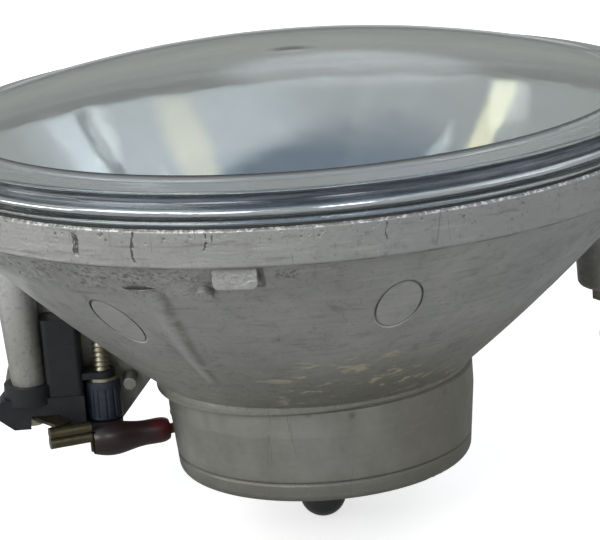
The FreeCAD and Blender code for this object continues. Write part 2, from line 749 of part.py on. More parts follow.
def earth_terminal():
    """Brass strip from the pillar's screw, with a rolled barrel and a blade that enters the sleeve."""
    strip_top = SCREW_FACE_Z - GAP
    strip_end = strip_top - STRIP_T
    eyelet = ring(4.0, 1.65, strip_end, strip_top, PILLAR.x, PILLAR.y)
    aim = SLEEVE_START - SLEEVE_END
    aim.normalize()
    barrel_end = SLEEVE_START + aim * 10.6
    barrel_start = SLEEVE_START + aim * 0.4
    barrel_mid = (barrel_end + barrel_start) * 0.5
    reach = FreeCAD.Vector(barrel_mid.x - PILLAR.x - 1.4, barrel_mid.y - PILLAR.y, 0)
    heading = math.degrees(math.atan2(reach.y, reach.x))
    strip = block((2.4, reach.Length), (-2.3, 2.3), (strip_end, strip_top))
    strip.Placement = FreeCAD.Placement(FreeCAD.Vector(PILLAR.x, PILLAR.y, 0), FreeCAD.Rotation(UP, heading))
    roll_r = 1.5
    barrel_z = strip_end + 0.2 - 1.8 * roll_r
    lobes = []
    for drop in (-0.8 * roll_r, 0.8 * roll_r):
        start = FreeCAD.Vector(barrel_start.x, barrel_start.y, barrel_z + drop)
        lobes.append(Part.makeCylinder(roll_r, 10.2, start, aim))
    blade = block((-0.6, 9.0), (-STRIP_T / 2, STRIP_T / 2), (-2.4, 2.4))
    blade = along_sleeve(blade, SLEEVE_START, SLEEVE_END)
    return joined(eyelet, strip, lobes[0], lobes[1], blade)


def earth_lead():
    """From the tag on the bulb seat, out through the grommet, round the neck to the red sleeve."""
    tag_end = polar(19.9, TAG_ANGLE, SEAT_Z - 3.6)
    points = [
        tag_end,
        polar(20.4, TAG_ANGLE, -69.0),
        grommet_spot(27.5, 1),
        grommet_spot(41.5, 1),
        polar(42.5, 140.0, -73.5),
        inside_sleeve(SLEEVE_START, SLEEVE_END, -4.0) + FreeCAD.Vector(-1.2, 3.4, 0),
        inside_sleeve(SLEEVE_START, SLEEVE_END, -1.6),
        inside_sleeve(SLEEVE_START, SLEEVE_END, 6.5),
    ]
    return cable(points, LEAD_R, 3.0)


def supply_lead():
    """From the plug's spout, out through the grommet and round behind the neck to its own sleeve."""
    points = [
        FreeCAD.Vector(0, 2.0, PLUG_SPOUT_Z),
        FreeCAD.Vector(0, 17.5, PLUG_SPOUT_Z),
        FreeCAD.Vector(-5.0, 24.5, -76.0),
        grommet_spot(27.5, -1),
        grommet_spot(43.0, -1),
        polar(45.5, 101.0, -70.5),
        inside_sleeve(SUPPLY_START, SUPPLY_END, -7.0),
        inside_sleeve(SUPPLY_START, SUPPLY_END, 6.5),
    ]
    return cable(points, LEAD_R, 5.0)


def earth_tag():
    """Brass tag welded under the seat's rim, folded down to meet the earth lead."""
    foot_top = SEAT_Z - 1.25
    foot = block((13.9, 18.6), (-2.2, 2.2), (foot_top - SHEET, foot_top))
    leg = block((17.8, 18.6), (-2.2, 2.2), (foot_top - 4.4, foot_top))
    return spun(joined(foot, leg), TAG_ANGLE)


def lead_grommet():
    """Rubber grommet in the neck's wall with a hole for each lead."""
    inner_r = NECK_BORE_R
    neck = grommet_bar(GROMMET_HOLE_R - GAP, inner_r - 1.6, NECK_R + 1.6)
    flanges = [grommet_bar(5.6, inner_r - 1.7, inner_r - 0.6), grommet_bar(5.6, NECK_R + 0.1, NECK_R + 1.3)]
    body = joined(neck, *flanges)
    for side in (1, -1):
        start = grommet_spot(25, side)
        body = body.cut(Part.makeCylinder(LEAD_R + 2 * GAP, 20, start, polar(1, GROMMET_ANGLE, 0)))
    return body


# ---- aim adjusters ------------------------------------------------------------------------------
KNOB_X = PILLAR.x + KNOB_OFFSET
YOKE_TOP = (-60.9, -59.3)
WASHER = (-61.8, -61.0)


def adjuster_body():
    """Black moulding on the pillar: cup, block, tower and the yoke that holds the knob."""
    near, far = PILLAR.y - BLOCK_HALF_DEPTH, PILLAR.y + BLOCK_HALF_DEPTH
    left = PILLAR.x - 8.7
    tower_left, tower_right = PILLAR.x + 4.3, PILLAR.x + 13.4
    corners = [
        (left, -66.5),
        (left + 1.8, BLOCK_TOP_Z),
        (tower_right, BLOCK_TOP_Z),
        (tower_right, BLOCK_END_Z),
        (tower_left, BLOCK_END_Z),
        (tower_left, BLOCK_LOW_Z),
        (left + 4.4, BLOCK_LOW_Z),
        (left, -68.6),
    ]
    base = slab([FreeCAD.Vector(x, near, z) for x, z in corners], far - near, FreeCAD.Vector(0, 1, 0))
    cup = round_bar(6.3, -66.0, -61.3, PILLAR.x, PILLAR.y)
    tower_z = (BLOCK_END_Z + 1, TOWER_TOP_Z)
    tower = rounded_block((tower_left, tower_right), (near + 0.5, far - 0.5), tower_z, 1.4, 2)
    foot_z = (BLOCK_END_Z, KNOB_END_Z - 0.2)
    foot_half = BLOCK_HALF_DEPTH - 0.4
    foot = block((tower_right - 1, KNOB_X), (PILLAR.y - foot_half, PILLAR.y + foot_half), foot_z)
    foot_end = round_bar(foot_half, foot_z[0], foot_z[1], KNOB_X, PILLAR.y)
    arm_half = 3.2
    arm = block((tower_right - 1, KNOB_X), (PILLAR.y - arm_half, PILLAR.y + arm_half), YOKE_TOP)
    arm_end = round_bar(arm_half, YOKE_TOP[0], YOKE_TOP[1], KNOB_X, PILLAR.y)
    body = joined(base, cup, tower, foot, foot_end, arm, arm_end)
    pocket_floor = PILLAR - UP * 0.3
    pocket = Part.makeCone(PILLAR_TIP_R + 0.35, PILLAR_TIP_R + 0.55, 6.0, pocket_floor, UP)
    spindle_bore = round_bar(SPINDLE_R + RUNNING, BLOCK_END_Z - 1, YOKE_TOP[1] + 1, KNOB_X, PILLAR.y)
    screw_bore = round_bar(1.65, -75, -60, PILLAR.x, PILLAR.y)
    head_bore = round_bar(4.3, -75, SCREW_FACE_Z, PILLAR.x, PILLAR.y)
    return body.cut(pocket).cut(spindle_bore).cut(screw_bore).cut(head_bore)


def terminal_channel():
    """Slot in the underside of the left block that the earth strip leaves through."""
    slot = block((0, 16), (-2.9, 2.9), (-75, SCREW_FACE_Z))
    slot.Placement = FreeCAD.Placement(FreeCAD.Vector(PILLAR.x, PILLAR.y, 0), FreeCAD.Rotation(UP, -52.0))
    return slot


def adjuster_knob():
    """Fluted knob with a nut bore, captive between the yoke's plates."""
    knob = round_bar(KNOB_R, KNOB_END_Z, KNOB_TOP_Z, KNOB_X, PILLAR.y)
    edges = [e for e in knob.Edges if e.Closed]
    knob = knob.makeChamfer(0.5, edges)
    flutes = 14
    for i in range(flutes):
        spot = FreeCAD.Vector(KNOB_X, PILLAR.y, 0) + polar(KNOB_R + 0.35, 360 * i / flutes, 0)
        knob = knob.cut(round_bar(0.6, KNOB_END_Z + 1.0, KNOB_TOP_Z - 1.6, spot.x, spot.y))
    return knob.cut(round_bar(SPINDLE_R + RUNNING, KNOB_END_Z - 1, KNOB_TOP_Z + 1, KNOB_X, PILLAR.y))


def thrust_washer():
    return ring(3.7, SPINDLE_R + 0.2, WASHER[0], WASHER[1], KNOB_X, PILLAR.y)


def spindle():
    """Threaded rod with a ball end that the car's socket snaps over."""
    root = SPINDLE_R - 0.45
    thread_low = BALL_Z + BALL_R + 0.9
    count = int((SPINDLE_TOP_Z - 0.8 - thread_low) / SPINDLE_PITCH)
    outline = [at(root - 0.1, thread_low)]
    for i in range(count):
        base = thread_low + i * SPINDLE_PITCH
        outline.append(at(root, base + 0.15))
        outline.append(at(SPINDLE_R, base + 0.55))
        outline.append(at(SPINDLE_R, base + 0.70))
    top = thread_low + count * SPINDLE_PITCH
    outline += [at(root, top), at(root, SPINDLE_TOP_Z), at(0, SPINDLE_TOP_Z)]
    rod = turned(at(0, thread_low), *outline)
    neck = round_bar(SPINDLE_R - 0.3, BALL_Z, thread_low + 0.1)
    ball = Part.makeSphere(BALL_R, FreeCAD.Vector(0, 0, BALL_Z))
    flat = round_bar(BALL_R, BALL_Z - BALL_R, BALL_Z - BALL_R + 0.3)
    whole = joined(rod, neck, ball.cut(flat))
    whole.translate(FreeCAD.Vector(KNOB_X, PILLAR.y, 0))
    return whole


def body_screw(head_top):
    """Pan-head cross-recess screw from below, up into the pillar."""
    head_end = head_top - 2.1
    head = round_bar(3.4, head_end, head_top, PILLAR.x, PILLAR.y)
    bottom = [e for e in head.Edges if abs(e.BoundBox.ZMax - head_end) < 0.01]
    head = head.makeFillet(0.9, bottom)
    shank = round_bar(1.5, head_top - 0.1, PILLAR.z + 9, PILLAR.x, PILLAR.y)
    recess = (head_end - 1, head_top - 0.9)
    screw = joined(head, shank)
    for half_x, half_y in ((1.8, 0.4), (0.4, 1.8)):
        x = (PILLAR.x - half_x, PILLAR.x + half_x)
        y = (PILLAR.y - half_y, PILLAR.y + half_y)
        screw = screw.cut(block(x, y, recess))
    return screw


def pivot_stud():
    """Fixed ball stud in the right-hand boss."""
    shank = round_bar(3.0, PIVOT_BOSS_Z - 1, PIVOT_BOSS_Z + 11, PIVOT_X, PIVOT_Y)
    nut_centre = FreeCAD.Vector(PIVOT_X, PIVOT_Y, PIVOT_BOSS_Z)
    nut = slab([nut_centre + polar(5.8, 60 * i, -3.6) for i in range(6)], 3.5, UP)
    waist = round_bar(2.6, PIVOT_BALL_Z, PIVOT_BOSS_Z - 3, PIVOT_X, PIVOT_Y)
    ball = Part.makeSphere(PIVOT_BALL_R, FreeCAD.Vector(PIVOT_X, PIVOT_Y, PIVOT_BALL_Z))
    return joined(shank, nut, waist, ball)


# ---- all nodes ------------------------------------------------------------------------------------
def all_nodes():
    strip_screw = body_screw(SCREW_FACE_Z - STRIP_T - 2 * GAP)
    plain_screw = body_screw(SCREW_FACE_Z - GAP)
    return {
        "housing": housing(),
        "lens": lens(),
        "lens_seal": lens_seal(),
        "reflector": mirror_with_rivet_holes(),
        "bulb_seat": bulb_seat(),
        "seat_rivets": seat_rivets(),
        "bulb_base": bulb_base(),
        "bulb_glass": bulb_glass(),
        "bulb_filament": bulb_filament(),
        "bulb_insulator": bulb_insulator(),
        "bulb_blade": bulb_blade(),
        "bulb_clip": bulb_clip(),
        "clip_bracket": clip_bracket(),
        "bulb_plug": bulb_plug(),
        "plug_contact": plug_contact(),
        "lead_grommet": lead_grommet(),
        "supply_lead": supply_lead(),
        "supply_sleeve": along_sleeve(insulated_sleeve(), SUPPLY_START, SUPPLY_END),
        "supply_receptacle": along_sleeve(receptacle(), SUPPLY_START, SUPPLY_END),
        "earth_lead": earth_lead(),
        "earth_sleeve": along_sleeve(insulated_sleeve(), SLEEVE_START, SLEEVE_END),
        "earth_receptacle": along_sleeve(receptacle(), SLEEVE_START, SLEEVE_END),
        "earth_terminal": earth_terminal(),
        "earth_tag": earth_tag(),
        "left_adjuster_body": adjuster_body().cut(terminal_channel()),
        "left_adjuster_knob": adjuster_knob(),
        "left_thrust_washer": thrust_washer(),
        "left_spindle": spindle(),
        "left_body_screw": strip_screw,
        "upper_adjuster_body": spun(adjuster_body(), UPPER_TURN),
        "upper_adjuster_knob": spun(adjuster_knob(), UPPER_TURN),
        "upper_thrust_washer": spun(thrust_washer(), UPPER_TURN),
        "upper_spindle": spun(spindle(), UPPER_TURN),
        "upper_body_screw": spun(plain_screw, UPPER_TURN),
        "pivot_stud": pivot_stud(),
    }


def write_parts():
    os.makedirs("parts", exist_ok=True)
    for name, shape in all_nodes().items():
        shape.exportStep(os.path.join("parts", name + ".step"))
        print(name, "solids", len(shape.Solids), "valid", shape.isValid(), "mm3", round(shape.Volume, 1))


write_parts()
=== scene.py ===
import json
import math

import bmesh
import bpy
from mathutils import Matrix, Vector


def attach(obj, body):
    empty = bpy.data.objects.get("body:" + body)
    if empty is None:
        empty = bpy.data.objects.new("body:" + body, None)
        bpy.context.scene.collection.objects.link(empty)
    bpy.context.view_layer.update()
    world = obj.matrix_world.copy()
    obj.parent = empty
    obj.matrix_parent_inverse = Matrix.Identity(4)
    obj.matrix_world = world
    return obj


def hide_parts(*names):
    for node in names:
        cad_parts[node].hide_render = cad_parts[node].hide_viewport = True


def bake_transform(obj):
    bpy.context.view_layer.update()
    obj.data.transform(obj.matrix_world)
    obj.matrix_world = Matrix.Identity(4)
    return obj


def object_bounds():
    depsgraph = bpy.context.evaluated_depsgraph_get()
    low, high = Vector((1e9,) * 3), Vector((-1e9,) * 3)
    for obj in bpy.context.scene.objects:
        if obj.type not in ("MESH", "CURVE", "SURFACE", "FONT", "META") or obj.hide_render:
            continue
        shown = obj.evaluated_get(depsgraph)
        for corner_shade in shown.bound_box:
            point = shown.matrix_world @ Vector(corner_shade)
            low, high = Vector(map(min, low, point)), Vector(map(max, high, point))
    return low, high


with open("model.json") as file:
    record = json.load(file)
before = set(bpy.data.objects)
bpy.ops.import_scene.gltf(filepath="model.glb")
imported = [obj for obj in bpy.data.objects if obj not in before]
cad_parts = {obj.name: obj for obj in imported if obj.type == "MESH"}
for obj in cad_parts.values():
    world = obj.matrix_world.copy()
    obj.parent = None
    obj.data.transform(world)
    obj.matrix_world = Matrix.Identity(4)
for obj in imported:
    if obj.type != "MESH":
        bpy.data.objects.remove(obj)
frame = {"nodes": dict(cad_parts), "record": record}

CAD_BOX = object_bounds()
MM = 0.001

# ---- camera: a long lens, a little above the rim, rolled so that the right side rides high --------
ELEVATION = math.radians(15.28)
ROLL = math.radians(4.38)
DISTANCE = 639.2 * MM
FOCAL_MM = 164.4
AIM_RIGHT = -1.0 * MM
AIM_UP = 32.1 * MM

TYPICAL_RADIUS = 80 * MM        # turns an angle round the optical axis into a length


# ---- node helpers -----------------------------------------------------------------------------------
class Shader:
    """Small helper around one material's (or world's) node tree."""

    def __init__(self, owner):
        owner.use_nodes = True
        self.tree = owner.node_tree
        self.nodes = self.tree.nodes
        self.nodes.clear()

    def add(self, kind, **settings):
        node = self.nodes.new(kind)
        for key, value in settings.items():
            setattr(node, key, value)
        return node

    def plug(self, socket, value):
        """Link a socket, or set its value from a number, a colour or a vector."""
        if isinstance(value, bpy.types.NodeSocket):
            self.tree.links.new(value, socket)
        elif isinstance(value, (int, float)) and not hasattr(socket.default_value, "__len__"):
            socket.default_value = value
        elif isinstance(value, (int, float)):
            socket.default_value = [value] * len(socket.default_value)
        elif len(socket.default_value) == 4 and len(value) == 3:
            socket.default_value = (*value, 1.0)
        else:
            socket.default_value = value

    def place(self):
        """Position in the shared frame, in metres."""
        return self.add("ShaderNodeTexCoord").outputs["Object"]

    def stretched(self, scale, source=None, turn=(0, 0, 0), shift=(0, 0, 0)):
        node = self.add("ShaderNodeMapping")
        self.plug(node.inputs["Vector"], source or self.place())
        node.inputs["Scale"].default_value = scale
        node.inputs["Rotation"].default_value = turn
        node.inputs["Location"].default_value = shift
        return node.outputs["Vector"]

    def noise(self, size, detail=4.0, rough=0.55, source=None, distort=0.0):
        """Noise whose largest blobs are about size metres across."""
        node = self.add("ShaderNodeTexNoise")
        self.plug(node.inputs["Vector"], source or self.place())
        node.inputs["Scale"].default_value = 1.0 / size
        node.inputs["Detail"].default_value = detail
        node.inputs["Roughness"].default_value = rough
        node.inputs["Distortion"].default_value = distort
        return node.outputs["Fac"]

    def cells(self, size):
        """Distance to the nearest of many scattered points that are about size metres apart."""
        node = self.add("ShaderNodeTexVoronoi", feature="F1")
        self.plug(node.inputs["Vector"], self.place())
        node.inputs["Scale"].default_value = 1.0 / size
        return node.outputs["Distance"]

    def ramp(self, value, stops):
        """Straight-line colour ramp; a stop is (position, grey or colour)."""
        node = self.add("ShaderNodeValToRGB")
        points = node.color_ramp.elements
        while len(points) < len(stops):
            points.new(0.5)
        for point, (position, colour) in zip(points, stops):
            point.position = position
            grey = isinstance(colour, (int, float))
            point.color = (colour, colour, colour, 1) if grey else (*colour, 1)
        self.plug(node.inputs["Fac"], value)
        return node.outputs["Color"]

    def step(self, value, low, high):
        """0 below low, 1 above high, smooth between."""
        node = self.add("ShaderNodeMapRange", interpolation_type="SMOOTHSTEP")
        self.plug(node.inputs["Value"], value)
        node.inputs["From Min"].default_value = low
        node.inputs["From Max"].default_value = high
        return node.outputs["Result"]

    def calc(self, operation, a, b=0.0, clamp=False):
        node = self.add("ShaderNodeMath", operation=operation, use_clamp=clamp)
        self.plug(node.inputs[0], a)
        self.plug(node.inputs[1], b)
        return node.outputs[0]

    def mix(self, amount, a, b):
        """Mix of two colours."""
        node = self.add("ShaderNodeMix", data_type="RGBA", blend_type="MIX")
        self.plug(node.inputs["Factor"], amount)
        self.plug(node.inputs["A"], a)
        self.plug(node.inputs["B"], b)
        return node.outputs["Result"]

    def axis(self, name):
        """One coordinate of the position: X, Y or Z."""
        node = self.add("ShaderNodeSeparateXYZ")
        self.plug(node.inputs[0], self.place())
        return node.outputs[name]

    def angle(self):
        """Direction round the optical axis in degrees: 0 along +X, -90 towards the camera."""
        turn = self.calc("ARCTAN2", self.axis("Y"), self.axis("X"))
        return self.calc("MULTIPLY", turn, 180 / math.pi)

    def radius(self):
        """Distance from the optical axis."""
        x, y = self.axis("X"), self.axis("Y")
        return self.calc("SQRT", self.calc("ADD", self.times(x, x), self.times(y, y)))

    def window(self, value, low, high, soft):
        """1 between low and high, fading over soft on both sides."""
        rising = self.step(value, low - soft, low + soft)
        falling = self.step(value, high + soft, high - soft)
        return self.calc("MULTIPLY", rising, falling)

    def times(self, first, *others):
        """Product of all the values."""
        for other in others:
            first = self.calc("MULTIPLY", first, other)
        return first

    def most(self, first, *others):
        """Largest of the values."""
        for other in others:
            first = self.calc("MAXIMUM", first, other)
        return first

    def crevice(self, reach):
        """1 deep in a corner of the piece itself, 0 on open faces."""
        node = self.add("ShaderNodeAmbientOcclusion", samples=6, only_local=True)
        node.inputs["Distance"].default_value = reach
        return self.step(node.outputs["AO"], 0.85, 0.35)

    def rounded(self, radius):
        """Normal that softens sharp edges by a small radius."""
        node = self.add("ShaderNodeBevel", samples=4)
        node.inputs["Radius"].default_value = radius
        return node.outputs["Normal"]

    def round_the_axis(self, stretch):
        """Coordinates in which noise is drawn out round the optical axis by stretch."""
        turn = self.calc("ARCTAN2", self.axis("Y"), self.axis("X"))
        join = self.add("ShaderNodeCombineXYZ")
        self.plug(join.inputs["X"], self.times(turn, TYPICAL_RADIUS / stretch))
        self.plug(join.inputs["Y"], self.radius())
        self.plug(join.inputs["Z"], self.axis("Z"))
        return join.outputs["Vector"]

    def bump(self, height, depth, under=None):
        """Bump whose full height range is depth metres."""
        node = self.add("ShaderNodeBump")
        self.plug(node.inputs["Height"], height)
        node.inputs["Strength"].default_value = 1.0
        node.inputs["Distance"].default_value = depth
        if under is not None:
            self.plug(node.inputs["Normal"], under)
        return node.outputs["Normal"]

    def blend(self, amount, a, b):
        """Mix of two shaders."""
        node = self.add("ShaderNodeMixShader")
        self.plug(node.inputs[0], amount)
        self.plug(node.inputs[1], a)
        self.plug(node.inputs[2], b)
        return node.outputs[0]

    def principled(self, **values):
        node = self.add("ShaderNodeBsdfPrincipled")
        for key, value in values.items():
            self.plug(node.inputs[key.replace("_", " ")], value)
        return node.outputs["BSDF"]

    def output(self, surface, kind="ShaderNodeOutputMaterial"):
        self.plug(self.add(kind).inputs["Surface"], surface)


def new_material(name):
    material = bpy.data.materials.new(name)
    return material, Shader(material)


# ---- materials --------------------------------------------------------------------------------------
BAND_LOW = -8.4 * MM            # lower edge of the rim band
NECK_HIGH = -56.5 * MM          # upper end of the neck
NECK_FACE_R = 41 * MM           # the neck's skin lies inside this radius
NECK_OFFSET = 1.4               # mm, how far the neck stands off the optical axis
PAD_ANGLE = -100.1              # direction of the small pad under the band
PAD_HALF = 4.75 * MM
PAD_LOW = -13.7 * MM
PAD_OUT = 83 * MM               # distance of the pad's face from the optical axis
EJECTOR_MARKS = ((-41.5, -54.6), (18.8, -69.4))
EJECTOR_LONG = 6.4 * MM         # half axes of the ovals
EJECTOR_WIDE = 5.0 * MM
# dents and cracks in the rim band: direction and half width in degrees, lowest and highest point in mm
BAND_NICKS = (
    (-113.7, 0.14, -7.0, -0.4),
    (-122.8, 0.42, -6.0, -1.6),
    (-103.4, 0.10, -4.4, -0.6),
    (-102.4, 0.08, -3.2, -1.2),
    (-79.2, 0.08, -4.6, -0.8),
    (-38.0, 0.12, -5.0, -1.0),
    (31.0, 0.12, -6.2, -0.5),
    (104.0, 0.18, -5.2, -0.8),
    (166.0, 0.12, -7.2, -1.4),
)
# scratches: slant in radians, spacing in mm
SCRATCHES = ((0.5, 5.0), (1.3, 7.0), (-0.7, 6.0))

# zones of the glass
DOME_FOOT_R = 78.2 * MM         # the dome ends and the flat flange begins
FLANGE_R = 85.2 * MM
FLANGE_Z = 7.0 * MM
WALL_Z = (3.9 * MM, 6.75 * MM)  # wall between the two rim beads, darkened with painted shade
WALL_R = 84.75 * MM
BEAD_Z = (1.95 * MM, 4.1 * MM)  # silvery lower bead
BEAD_R = 86.05 * MM


def band_nicks(s):
    """Dark cracks and dents that run down the rim band."""
    wander = s.calc("MULTIPLY", s.calc("SUBTRACT", s.noise(3 * MM, 3), 0.5), 1.8)
    angle = s.calc("ADD", s.angle(), wander)
    height = s.axis("Z")
    marks = []
    for where, half, low, high in BAND_NICKS:
        across = s.window(angle, where - half, where + half, 0.12)
        marks.append(s.times(across, s.window(height, low * MM, high * MM, 0.5 * MM)))
    return s.times(s.most(*marks), s.step(s.noise(0.8 * MM, 3), 0.34, 0.52))


def long_scratches(s):
    """Thin straight scratches that cross the casting at a few slants."""
    marks = []
    for turn, size in SCRATCHES:
        lines = s.noise(size * MM, 1, 0.3, source=s.stretched((1, 1, 0.05), turn=(turn, 0.9 * turn, 0)))
        ridge = s.calc("ABSOLUTE", s.calc("SUBTRACT", lines, 0.5))
        gate = s.step(s.noise(15 * MM, 2, source=s.stretched((1, 1, 1), shift=(size, 0, 0))), 0.60, 0.66)
        marks.append(s.times(s.step(ridge, 0.006, 0.0), gate))
    return s.most(*marks)


def ejector_marks(s):
    """Smooth faces of the oval ejector marks, a broken line of painted shade round the upper part of each,
    and a painted highlight on its lower edge.
    """
    x, y = s.axis("X"), s.axis("Y")
    below = s.step(s.axis("Z"), -10 * MM, -14 * MM)
    worn = s.step(s.noise(4 * MM, 3), 0.36, 0.52)
    faces, painted_shade, painted_highlight = [], [], []
    for centre in EJECTOR_MARKS:
        reach = math.hypot(*centre)
        ahead = (centre[0] / reach, centre[1] / reach)
        dx, dy = (s.calc("SUBTRACT", here, there * MM) for here, there in zip((x, y), centre))
        outward = s.calc("ADD", s.times(dx, ahead[0]), s.times(dy, ahead[1]))
        sideways = s.calc("SUBTRACT", s.times(dy, ahead[0]), s.times(dx, ahead[1]))
        along, across = s.times(outward, 1 / EJECTOR_LONG), s.times(sideways, 1 / EJECTOR_WIDE)
        away = s.calc("SQRT", s.calc("ADD", s.times(along, along), s.times(across, across)))
        line = s.times(s.window(away, 0.97, 1.05, 0.025), below)
        faces.append(s.times(s.step(away, 1.0, 0.94), below))
        # painted shade on the upper part of the ring, broken up by noise; painted highlight on its lower edge
        painted_shade.append(s.times(line, worn, s.step(along, -0.6, 0.1)))
        painted_highlight.append(s.times(line, s.step(along, -0.2, -0.7)))
    return s.most(*faces), s.most(*painted_shade), s.most(*painted_highlight)


def corrosion(s, angle, height):
    """Dense scaly pitting in an arc under the band, thinning out to the right: zone and pattern."""
    ragged = s.step(s.noise(6 * MM, 4, 0.6), 0.36, 0.52)
    arc = s.times(s.window(angle, -179, -104, 5), s.window(height, -17 * MM, -8.9 * MM, 1.8 * MM), ragged)
    low_strip = s.window(height, -13 * MM, -9 * MM, 1.2 * MM)
    thin = s.times(s.window(angle, -104, -84, 4), low_strip, ragged, 0.4)
    scale = s.noise(1.5 * MM, 6, 0.8, distort=0.9, source=s.stretched((1, 1, 1.3)))
    return s.most(arc, thin), scale


def rib_marks(s, angle, height):
    """Brownish painted shade, in patches, on the right-hand foot of the slanted rib, and a painted highlight
    on its crest.
    """
    degrees_at_zero, degrees_per_metre = -112.3, 117.4
    rib = s.calc("ADD", s.times(height, degrees_per_metre), degrees_at_zero)
    aside = s.times(s.calc("SUBTRACT", angle, rib), s.radius(), math.pi / 180)
    reach = s.window(height, -45 * MM, -16 * MM, 3 * MM)
    patchy = s.step(s.noise(7 * MM, 3), 0.34, 0.56)
    painted_shade = s.times(s.window(aside, 1.2 * MM, 2.9 * MM, 0.8 * MM), reach, patchy)
    return painted_shade, s.times(s.window(aside, -1.9 * MM, 0.3 * MM, 0.9 * MM), reach)


def edge_shade_and_specks(s, angle, height):
    """Painted shade in a broken line in the corner under the band, painted shadow on the right of and under
    the front pad, and dark specks in a scuffed patch beside it.
    """
    corner_shade = s.window(height, -8.75 * MM, -8.15 * MM, 0.14 * MM)
    # painted shade: a broken dark line in the corner under the band
    under_band_shade = s.times(corner_shade, s.step(s.noise(8 * MM, 4), 0.40, 0.56))
    aside = s.times(s.calc("SUBTRACT", angle, PAD_ANGLE), PAD_OUT * math.pi / 180)
    # painted shadow of the raised pad, on its right and beneath it
    pad_shadow_right = s.times(s.window(aside, PAD_HALF, PAD_HALF + 1.1 * MM, 0.15 * MM),
                        s.window(height, -14 * MM, -8.6 * MM, 0.3 * MM))
    pad_shadow_under = s.times(s.window(aside, -PAD_HALF, PAD_HALF + 0.8 * MM, 0.4 * MM),
                        s.window(height, PAD_LOW - 0.8 * MM, PAD_LOW + 0.1 * MM, 0.15 * MM))
    speckle = s.step(s.noise(0.9 * MM, 3, 0.7), 0.46, 0.56)
    scuffed = s.times(s.window(angle, -94.5, -91.2, 0.4),
                      s.window(height, -12.3 * MM, -9.8 * MM, 0.4 * MM), speckle)
    return s.most(under_band_shade, pad_shadow_right, pad_shadow_under, scuffed)


def neck_finish_and_shade(s, angle, height):
    """Satin neck with painted shade: darker and browner on its right, darker and browner below its groove,
    very dark on its left side; spotted at the top.
    """
    side = s.calc("ABSOLUTE", angle)
    soft = s.noise(9 * MM, 4, 0.55, source=s.stretched((1, 1, 0.6)))
    satin_and_shade = s.ramp(soft, [(0.3, (0.235, 0.23, 0.212)), (0.7, (0.34, 0.335, 0.315))])
    # painted shade, brownish, on the right of the neck
    satin_and_shade = s.mix(s.times(s.step(side, 88, 40), 0.75), satin_and_shade, (0.205, 0.192, 0.15))
    satin_and_shade = s.mix(s.times(s.step(height, -71 * MM, -78 * MM), 0.55), satin_and_shade, (0.13, 0.125, 0.11))
    # painted shade: the left side of the neck is made very dark
    satin_and_shade = s.mix(s.times(s.step(side, 148, 174), 0.85), satin_and_shade, (0.055, 0.053, 0.047))
    near_top = s.times(s.window(height, -63 * MM, -57.5 * MM, 1 * MM), s.window(angle, -98, -38, 6))
    spots = s.times(s.step(s.cells(4.6 * MM), 0.26, 0.12), near_top)
    return s.mix(s.times(spots, 0.6), satin_and_shade, (0.10, 0.095, 0.07))


def skin_and_painted_light(s, angle, height, neck):
    """Colour of the casting before wear, with painted light and shade: even band, left pillar painted pale as
    if lit, lower bowl painted darker and browner as if shaded (with brown staining), satin neck with painted
    shade at its sides.
    """
    base = s.ramp(s.noise(26 * MM, 5, 0.6), [(0.3, (0.33, 0.33, 0.325)), (0.7, (0.48, 0.48, 0.47))])
    band = s.step(height, BAND_LOW - 0.3 * MM, BAND_LOW + 0.3 * MM)
    base = s.mix(s.times(band, 0.75), base, (0.37, 0.37, 0.363))
    # painted light: the left pillar is made pale as if lit from the left
    pillar_light = s.times(s.step(s.axis("X"), -60 * MM, -63 * MM), s.step(height, -14 * MM, -19 * MM))
    base = s.mix(s.times(pillar_light, 0.7), base, (0.70, 0.70, 0.69))
    # painted shade with brown staining: darker and browner towards the bottom of the bowl, more so to the
    # lower right
    lower_bowl_shade_and_stain = s.step(height, -28 * MM, -56 * MM)
    base = s.mix(s.times(lower_bowl_shade_and_stain, 0.6), base, (0.23, 0.22, 0.185))
    base = s.mix(s.times(s.window(angle, -75, -5, 25), lower_bowl_shade_and_stain, 0.5), base, (0.20, 0.185, 0.145))
    return s.mix(s.times(neck, 0.85), base, neck_finish_and_shade(s, angle, height))


def worn_skin(s, base, skin, mottle, drag, fine):
    """Blotches, drag lines and fine specks, dark and light; skin fades them out on the neck."""
    base = s.mix(s.times(s.step(mottle, 0.50, 0.78), 0.5, skin), base, (0.16, 0.157, 0.145))
    base = s.mix(s.times(s.step(drag, 0.56, 0.74), 0.3, skin), base, (0.085, 0.082, 0.072))
    base = s.mix(s.times(s.step(drag, 0.44, 0.30), 0.25, skin), base, (0.58, 0.58, 0.56))
    base = s.mix(s.times(s.step(fine, 0.58, 0.72), 0.45, skin), base, (0.07, 0.068, 0.06))
    return s.mix(s.times(s.step(fine, 0.40, 0.28), 0.3, skin), base, (0.62, 0.62, 0.60))


def feature_marks(s, base, angle, height):
    """Tints on the ejector marks and on the slanted rib."""
    faces, painted_shade, painted_highlight = ejector_marks(s)
    base = s.mix(s.times(faces, 0.3), base, (0.60, 0.60, 0.60))
    # painted shade round the upper part of each ejector ring and a painted highlight on its lower edge
    base = s.mix(s.times(painted_shade, 0.6), base, (0.06, 0.058, 0.05))
    base = s.mix(s.times(painted_highlight, 0.7), base, (0.80, 0.80, 0.79))
    rib_shade, rib_highlight = rib_marks(s, angle, height)
    # painted highlight on the rib's crest, then brownish painted shade on its right-hand foot
    base = s.mix(s.times(rib_highlight, 0.35), base, (0.60, 0.60, 0.59))
    return s.mix(s.times(rib_shade, 0.5), base, (0.11, 0.10, 0.07))


